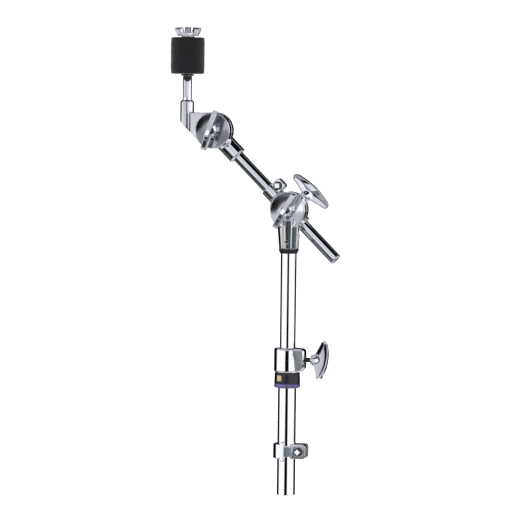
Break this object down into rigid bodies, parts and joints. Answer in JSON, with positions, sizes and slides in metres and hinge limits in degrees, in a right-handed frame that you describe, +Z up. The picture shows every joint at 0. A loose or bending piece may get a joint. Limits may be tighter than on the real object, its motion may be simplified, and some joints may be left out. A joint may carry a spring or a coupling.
{
  "type": "cymbal boom holder",
  "caption": "Chrome cymbal boom holder: height tube with clamp, swivelling boom on a tilter, second tilter and felted cymbal post.",
  "frame": {"origin": "centre of the lower tube's bottom end, on the tube's axis", "axes": "+Z up the tube; the boom rises towards -X; the tilters' wing nuts face -Y"},
  "size_m": [0.2064, 0.0603, 0.5602],
  "materials": {
    "chrome": "polished chrome plate",
    "dark_steel": "dark oiled steel",
    "black_plastic": "black moulded plastic",
    "purple_plastic": "purple moulded plastic",
    "nylon": "natural nylon",
    "fibre": "pressed fibre",
    "felt": "dense black felt"
  },
  "bodies": {
    "root": {"lower_tube": "chrome", "height_collar": "chrome", "height_collar_sleeve": "black_plastic", "height_collar_ring": "purple_plastic", "height_bush": "nylon", "height_shoe": "dark_steel", "collar_pin": "dark_steel"},
    "height_bolt": {"height_stem": "dark_steel", "height_wing": "chrome"},
    "memory_lock": {"memory_clamp": "chrome", "memory_nut": "dark_steel"},
    "memory_key": {"memory_screw": "chrome"},
    "height_carriage": {"guide_bush": "nylon"},
    "mast": {"upper_tube": "chrome", "neck_ring": "black_plastic", "neck_casting": "chrome", "neck_pin": "dark_steel", "lower_friction_washer": "fibre"},
    "boom_mount": {"boom_holder": "chrome", "lower_stud": "dark_steel", "boom_clamp_shoe": "dark_steel", "lower_nut_washer": "chrome"},
    "lower_wing": {"lower_wing_nut": "chrome"},
    "boom_clamp_bolt": {"boom_clamp_stem": "dark_steel", "boom_clamp_wing": "chrome"},
    "liner": {"boom_liner": "nylon"},
    "boom": {"boom_rod": "chrome", "boom_end_plug": "chrome", "upper_holder": "chrome", "ferrule_screw": "dark_steel", "upper_stud": "dark_steel", "upper_nut_washer": "chrome"},
    "boom_memory": {"boom_memory_clamp": "chrome", "boom_memory_nut": "dark_steel"},
    "boom_memory_key": {"boom_memory_screw": "chrome"},
    "upper_wing": {"upper_wing_nut": "chrome"},
    "cymbal_head": {"cymbal_arm": "chrome", "socket_screw": "dark_steel", "upper_friction_washer": "fibre", "cymbal_post": "chrome", "seat_washer": "black_plastic", "nylon_sleeve": "nylon", "lower_felt": "felt", "upper_felt": "felt"},
    "cymbal_nut": {"cymbal_wing_nut": "chrome"}
  },
  "joints": [
    {"name": "height_bolt_turn", "type": "hinge", "parent": "root", "child": "height_bolt", "pos_m": [0.03, 0, 0.163], "axis": [1, 0, 0], "range_deg": [0, 450]},
    {"name": "memory_lock_slide", "type": "slide", "parent": "root", "child": "memory_lock", "axis": [0, 0, 1], "range_m": [-0.038, 0.062]},
    {"name": "memory_screw_turn", "type": "hinge", "parent": "memory_lock", "child": "memory_key", "pos_m": [0.0166, 0, 0.053], "axis": [0, -1, 0], "range_deg": [0, 450]},
    {"name": "height_slide", "type": "slide", "parent": "root", "child": "height_carriage", "axis": [0, 0, 1], "range_m": [-0.08, 0.03]},
    {"name": "mast_swivel", "type": "hinge", "parent": "height_carriage", "child": "mast", "pos_m": [0, 0, 0.2], "axis": [0, 0, 1], "continuous": true},
    {"name": "boom_tilt", "type": "hinge", "parent": "mast", "child": "boom_mount", "pos_m": [0, 0, 0.3425], "axis": [0, 1, 0], "range_deg": [-75, 60]},
    {"name": "lower_wing_turn", "type": "hinge", "parent": "boom_mount", "child": "lower_wing", "pos_m": [0, 0, 0.3425], "axis": [0, -1, 0], "range_deg": [0, 450]},
    {"name": "boom_clamp_turn", "type": "hinge", "parent": "boom_mount", "child": "boom_clamp_bolt", "pos_m": [-0.00283, 0.0186, 0.33967], "axis": [0.7071, 0, 0.7071], "range_deg": [0, 450]},
    {"name": "boom_roll", "type": "hinge", "parent": "boom_mount", "child": "liner", "pos_m": [-0.00283, 0.0186, 0.33967], "axis": [-0.7071, 0, 0.7071], "range_deg": [-90, 90]},
    {"name": "boom_slide", "type": "slide", "parent": "liner", "child": "boom", "axis": [-0.7071, 0, 0.7071], "range_m": [0, 0.055]},
    {"name": "boom_memory_slide", "type": "slide", "parent": "boom", "child": "boom_memory", "axis": [-0.7071, 0, 0.7071], "range_m": [0, 0.05]},
    {"name": "boom_memory_screw_turn", "type": "hinge", "parent": "boom_memory", "child": "boom_memory_key", "pos_m": [-0.01711, 0.0186, 0.37078], "axis": [0, -1, 0], "range_deg": [0, 450]},
    {"name": "upper_wing_turn", "type": "hinge", "parent": "boom", "child": "upper_wing", "pos_m": [-0.09355, 0, 0.43605], "axis": [0, -1, 0], "range_deg": [0, 450]},
    {"name": "cymbal_tilt", "type": "hinge", "parent": "boom", "child": "cymbal_head", "pos_m": [-0.09355, 0, 0.43605], "axis": [0, 1, 0], "range_deg": [-80, 90]},
    {"name": "cymbal_nut_turn", "type": "hinge", "parent": "cymbal_head", "child": "cymbal_nut", "pos_m": [-0.12695, -0.003, 0.55], "axis": [0, 0, 1], "range_deg": [0, 450]}
  ]
}
